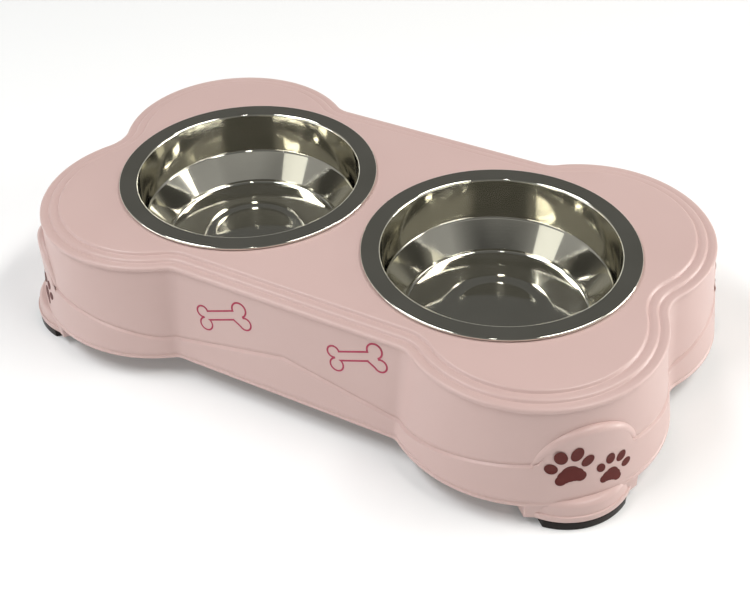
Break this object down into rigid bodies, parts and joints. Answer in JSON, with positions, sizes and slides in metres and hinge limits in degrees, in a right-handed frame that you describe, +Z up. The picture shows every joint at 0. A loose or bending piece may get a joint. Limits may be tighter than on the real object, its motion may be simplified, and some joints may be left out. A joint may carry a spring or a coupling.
{
  "type": "double pet bowl",
  "caption": "Bone-shaped pink plastic feeding stand on rubber feet that holds loose round steel bowls by their rims, with paw prints and bone outlines on its walls.",
  "frame": {"origin": "on the floor, under the middle of the stand", "axes": "+X along the stand from the left bowl to the right bowl, +Z up, the front long side faces -Y"},
  "size_m": [0.3432, 0.2064, 0.0685],
  "materials": {
    "pink_plastic": "satin gloss moulding",
    "steel": "polished stainless steel",
    "black_rubber": "matte",
    "maroon_ink": "printed ink",
    "rose_ink": "printed ink"
  },
  "bodies": {
    "stand": {"housing": "pink_plastic", "foot_pad_front_left": "black_rubber", "foot_pad_front_right": "black_rubber", "foot_pad_back_left": "black_rubber", "foot_pad_back_right": "black_rubber", "paw_prints_front_left": "maroon_ink", "paw_prints_front_right": "maroon_ink", "paw_prints_back_left": "maroon_ink", "paw_prints_back_right": "maroon_ink", "bone_prints_front": "rose_ink", "bone_prints_back": "rose_ink"},
    "left_bowl": {"bowl_left": "steel"},
    "right_bowl": {"bowl_right": "steel"}
  },
  "joints": [
    {"name": "bowl_left_lift", "type": "slide", "parent": "stand", "child": "left_bowl", "axis": [0, 0, 1], "range_m": [0, 0.045]},
    {"name": "bowl_right_lift", "type": "slide", "parent": "stand", "child": "right_bowl", "axis": [0, 0, 1], "range_m": [0, 0.045]}
  ]
}
